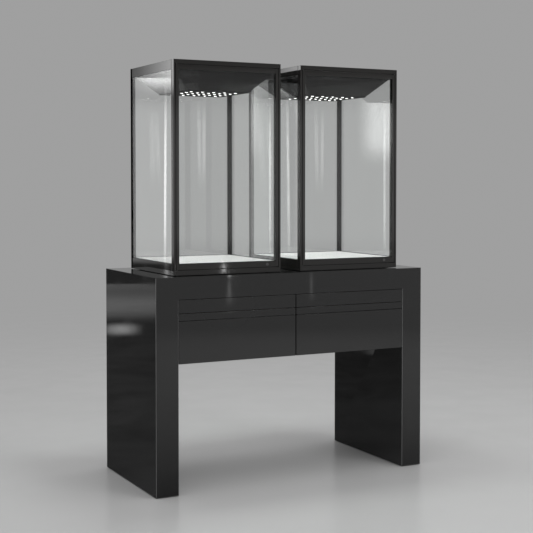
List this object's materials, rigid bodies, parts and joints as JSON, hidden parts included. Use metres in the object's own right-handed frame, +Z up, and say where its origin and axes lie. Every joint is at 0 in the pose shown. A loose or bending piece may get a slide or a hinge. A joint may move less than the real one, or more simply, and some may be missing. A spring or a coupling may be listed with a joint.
{
  "type": "display console with glass showcases",
  "caption": "Slab-legged gloss black console with push-open drawers, carrying tall framed glass showcases with hinged lockable doors, white decks and lit roof hoods.",
  "frame": {"origin": "on the floor under the centre of the console", "axes": "+Z up, -Y the front with doors and drawers, +X to the viewer's right"},
  "size_m": [1.29, 0.6, 1.792],
  "materials": {
    "console_lacquer": "black high-gloss lacquer on board",
    "front_lacquer": "black gloss lacquer on board",
    "carcass_board": "satin black melamine board",
    "drawer_board": "grey laminated board",
    "frame_bronze": "dark bronze anodised, satin",
    "case_glass": "clear toughened glass, polished edges",
    "hood_gloss": "gloss black stoved paint",
    "lamp_plate_black": "matt black paint",
    "lamp_lens": "clear moulded lens, lit",
    "lamp_board": "solder-masked circuit board",
    "deck_white": "fine-grained white laminate",
    "seal_rubber": "matt black seal",
    "foot_rubber": "matt black",
    "glide_nylon": "black nylon",
    "pivot_steel": "turned stainless steel",
    "lock_chrome": "satin chrome",
    "pan_steel": "zinc-plated sheet",
    "runner_steel": "zinc-plated rolled steel",
    "supply_case": "pressed aluminium case",
    "lead_sheath": "black cable sheath",
    "inlet_plastic": "moulded black"
  },
  "bodies": {
    "console": {"table_top": "console_lacquer", "leg_left": "console_lacquer", "leg_right": "console_lacquer", "carcass_floor": "carcass_board", "carcass_back": "carcass_board", "carcass_partition": "carcass_board", "dust_shelves": "carcass_board", "front_strips": "front_lacquer", "runner_outers": "runner_steel", "floor_glides": "glide_nylon", "power_supplies": "supply_case", "supply_leads": "lead_sheath", "mains_inlet": "inlet_plastic", "case_feet": "foot_rubber", "base_pans": "pan_steel", "door_stops": "frame_bronze", "door_seals": "seal_rubber", "door_pivots": "pivot_steel", "roof_panels": "frame_bronze", "roof_screws": "pivot_steel", "lamp_boards": "lamp_board", "lamp_lenses": "lamp_lens", "left_base_frame": "frame_bronze", "left_corner_posts": "frame_bronze", "left_top_frame": "frame_bronze", "left_side_panes": "case_glass", "left_back_pane": "case_glass", "left_light_hood": "hood_gloss", "left_lamp_plate": "lamp_plate_black", "left_display_deck": "deck_white", "right_base_frame": "frame_bronze", "right_corner_posts": "frame_bronze", "right_top_frame": "frame_bronze", "right_side_panes": "case_glass", "right_back_pane": "case_glass", "right_light_hood": "hood_gloss", "right_lamp_plate": "lamp_plate_black", "right_display_deck": "deck_white"},
    "upper_left_drawer": {"upper_left_front": "front_lacquer", "upper_left_box": "drawer_board", "upper_left_runner_inners": "runner_steel"},
    "upper_left_middles": {"upper_left_runner_middles": "runner_steel"},
    "upper_right_drawer": {"upper_right_front": "front_lacquer", "upper_right_box": "drawer_board", "upper_right_runner_inners": "runner_steel"},
    "upper_right_middles": {"upper_right_runner_middles": "runner_steel"},
    "lower_left_drawer": {"lower_left_front": "front_lacquer", "lower_left_box": "drawer_board", "lower_left_runner_inners": "runner_steel"},
    "lower_left_middles": {"lower_left_runner_middles": "runner_steel"},
    "lower_right_drawer": {"lower_right_front": "front_lacquer", "lower_right_box": "drawer_board", "lower_right_runner_inners": "runner_steel"},
    "lower_right_middles": {"lower_right_runner_middles": "runner_steel"},
    "left_door": {"left_door_frame": "frame_bronze", "left_door_glass": "case_glass"},
    "left_lock": {"left_door_lock": "lock_chrome"},
    "right_door": {"right_door_frame": "frame_bronze", "right_door_glass": "case_glass"},
    "right_lock": {"right_door_lock": "lock_chrome"}
  },
  "joints": [
    {"name": "upper_left_drawer_slide", "type": "slide", "parent": "console", "child": "upper_left_drawer", "axis": [0, -1, 0], "range_m": [-0.003, 0.4]},
    {"name": "upper_left_runner_slide", "type": "slide", "parent": "console", "child": "upper_left_middles", "axis": [0, -1, 0], "range_m": [-0.0015, 0.2]},
    {"name": "upper_right_drawer_slide", "type": "slide", "parent": "console", "child": "upper_right_drawer", "axis": [0, -1, 0], "range_m": [-0.003, 0.4]},
    {"name": "upper_right_runner_slide", "type": "slide", "parent": "console", "child": "upper_right_middles", "axis": [0, -1, 0], "range_m": [-0.0015, 0.2]},
    {"name": "lower_left_drawer_slide", "type": "slide", "parent": "console", "child": "lower_left_drawer", "axis": [0, -1, 0], "range_m": [-0.003, 0.4]},
    {"name": "lower_left_runner_slide", "type": "slide", "parent": "console", "child": "lower_left_middles", "axis": [0, -1, 0], "range_m": [-0.0015, 0.2]},
    {"name": "lower_right_drawer_slide", "type": "slide", "parent": "console", "child": "lower_right_drawer", "axis": [0, -1, 0], "range_m": [-0.003, 0.4]},
    {"name": "lower_right_runner_slide", "type": "slide", "parent": "console", "child": "lower_right_middles", "axis": [0, -1, 0], "range_m": [-0.0015, 0.2]},
    {"name": "left_door_hinge", "type": "hinge", "parent": "console", "child": "left_door", "pos_m": [-0.529, -0.246, 1.34], "axis": [0, 0, -1], "range_deg": [0, 105]},
    {"name": "left_lock_turn", "type": "hinge", "parent": "left_door", "child": "left_lock", "pos_m": [-0.1135, -0.24, 0.9375], "axis": [0, 1, 0], "range_deg": [0, 90]},
    {"name": "right_door_hinge", "type": "hinge", "parent": "console", "child": "right_door", "pos_m": [0.063, -0.246, 1.34], "axis": [0, 0, -1], "range_deg": [0, 105]},
    {"name": "right_lock_turn", "type": "hinge", "parent": "right_door", "child": "right_lock", "pos_m": [0.4785, -0.24, 0.9375], "axis": [0, 1, 0], "range_deg": [0, 90]}
  ],
  "couplings": [
    {"joint": "upper_left_runner_slide", "follows": "upper_left_drawer_slide", "ratio": 0.5},
    {"joint": "upper_right_runner_slide", "follows": "upper_right_drawer_slide", "ratio": 0.5},
    {"joint": "lower_left_runner_slide", "follows": "lower_left_drawer_slide", "ratio": 0.5},
    {"joint": "lower_right_runner_slide", "follows": "lower_right_drawer_slide", "ratio": 0.5}
  ]
}
